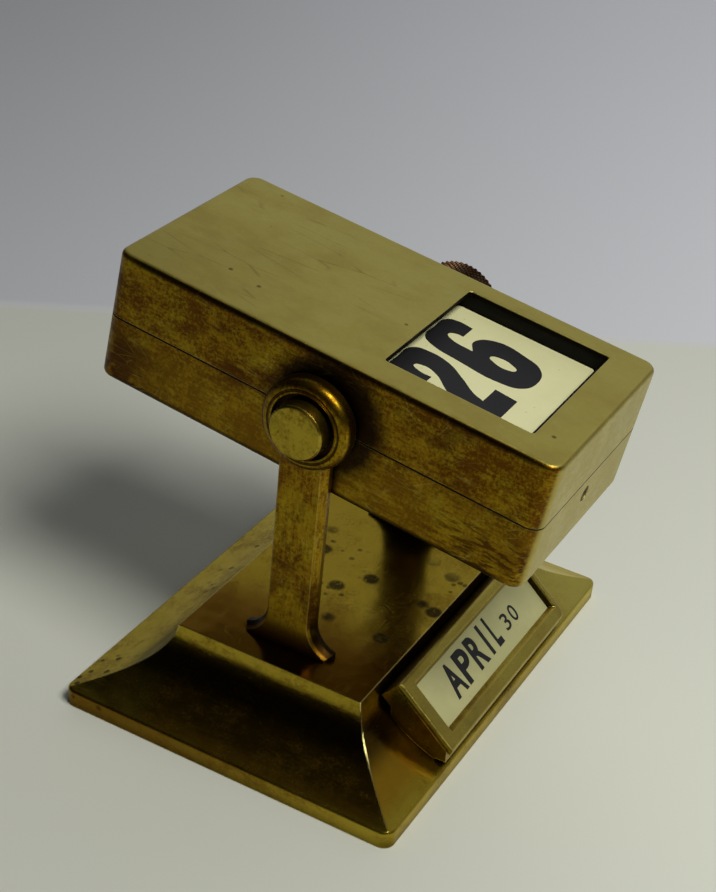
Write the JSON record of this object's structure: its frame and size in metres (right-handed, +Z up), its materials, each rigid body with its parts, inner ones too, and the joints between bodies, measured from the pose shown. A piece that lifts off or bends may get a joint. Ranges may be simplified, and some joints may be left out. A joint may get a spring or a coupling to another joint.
{
  "type": "flip desk calendar",
  "caption": "Brass desk calendar: a tilting case with a day window turns over between two posts on a coved base with a month frame.",
  "frame": {"origin": "bottom centre of the base, on the surface it stands on", "axes": "+Z up; -Y is the front, with the month frame; +X is the side of the knurled knob"},
  "size_m": [0.102, 0.0992, 0.0901],
  "materials": {
    "brass": "aged cast brass, darkened in the hollows and polished on the edges",
    "case_brass": "satin brushed brass with brown patina on the sides",
    "pin_brass": "turned brass, worn bright on the button",
    "knob_bronze": "dull brown bronze, dark between the knurls",
    "screw_steel": "dull slotted screws",
    "spring_steel": "plain sheet steel",
    "black_guide": "black lacquered metal, rubbed where the cards slide",
    "felt": "dark green felt",
    "day_card": "cream card with bold black numbers",
    "month_card": "cream card with dark lettering"
  },
  "bodies": {
    "stand": {"base_shell": "brass", "base_plate": "spring_steel", "base_plate_screws": "screw_steel", "felt_pad": "felt", "left_post": "brass", "right_post": "brass", "left_post_screws": "screw_steel", "right_post_screws": "screw_steel", "month_holder": "brass", "month_bezel": "brass", "month_holder_screws": "screw_steel", "month_card_spring": "spring_steel"},
    "case": {"case_upper": "case_brass", "case_lower": "case_brass", "left_guide": "black_guide", "right_guide": "black_guide", "core_block": "black_guide", "front_stop": "black_guide", "back_stop": "black_guide", "front_end_screw": "screw_steel", "back_end_screw": "screw_steel", "left_pivot": "pin_brass", "right_pivot": "pin_brass", "knob": "knob_bronze", "left_washer": "pin_brass", "right_washer": "pin_brass", "spring_washer": "spring_steel"},
    "front_stack": {"day_card_01": "day_card", "day_card_02": "day_card", "day_card_03": "day_card", "day_card_04": "day_card", "day_card_05": "day_card", "day_card_06": "day_card", "day_card_07": "day_card", "day_card_08": "day_card"},
    "top_card": {"day_card_09": "day_card"},
    "back_stack": {"day_card_10": "day_card", "day_card_11": "day_card", "day_card_12": "day_card", "day_card_13": "day_card", "day_card_14": "day_card", "day_card_15": "day_card", "day_card_16": "day_card"},
    "month_card_1_body": {"month_card_1": "month_card"},
    "month_card_2_body": {"month_card_2": "month_card"},
    "month_card_3_body": {"month_card_3": "month_card"},
    "month_card_4_body": {"month_card_4": "month_card"},
    "month_card_5_body": {"month_card_5": "month_card"},
    "month_card_6_body": {"month_card_6": "month_card"}
  },
  "joints": [
    {"name": "case_flip", "type": "hinge", "parent": "stand", "child": "case", "pos_m": [0, 0, 0.0692], "axis": [1, 0, 0], "continuous": true},
    {"name": "front_stack_drop", "type": "slide", "parent": "case", "child": "front_stack", "axis": [0, -0.1423, 0.9898], "range_m": [0, 0.0028]},
    {"name": "top_card_slide", "type": "slide", "parent": "front_stack", "child": "top_card", "axis": [0, 0.9898, 0.1423], "range_m": [0, 0.044]},
    {"name": "back_stack_drop", "type": "slide", "parent": "case", "child": "back_stack", "axis": [0, -0.1423, 0.9898], "range_m": [0, 0.0052]},
    {"name": "month_card_1_slide", "type": "slide", "parent": "stand", "child": "month_card_1_body", "axis": [1, 0, 0], "range_m": [0, 0.055]},
    {"name": "month_card_2_slide", "type": "slide", "parent": "stand", "child": "month_card_2_body", "axis": [1, 0, 0], "range_m": [0, 0.055]},
    {"name": "month_card_3_slide", "type": "slide", "parent": "stand", "child": "month_card_3_body", "axis": [1, 0, 0], "range_m": [0, 0.055]},
    {"name": "month_card_4_slide", "type": "slide", "parent": "stand", "child": "month_card_4_body", "axis": [1, 0, 0], "range_m": [0, 0.055]},
    {"name": "month_card_5_slide", "type": "slide", "parent": "stand", "child": "month_card_5_body", "axis": [1, 0, 0], "range_m": [0, 0.055]},
    {"name": "month_card_6_slide", "type": "slide", "parent": "stand", "child": "month_card_6_body", "axis": [1, 0, 0], "range_m": [0, 0.055]}
  ]
}
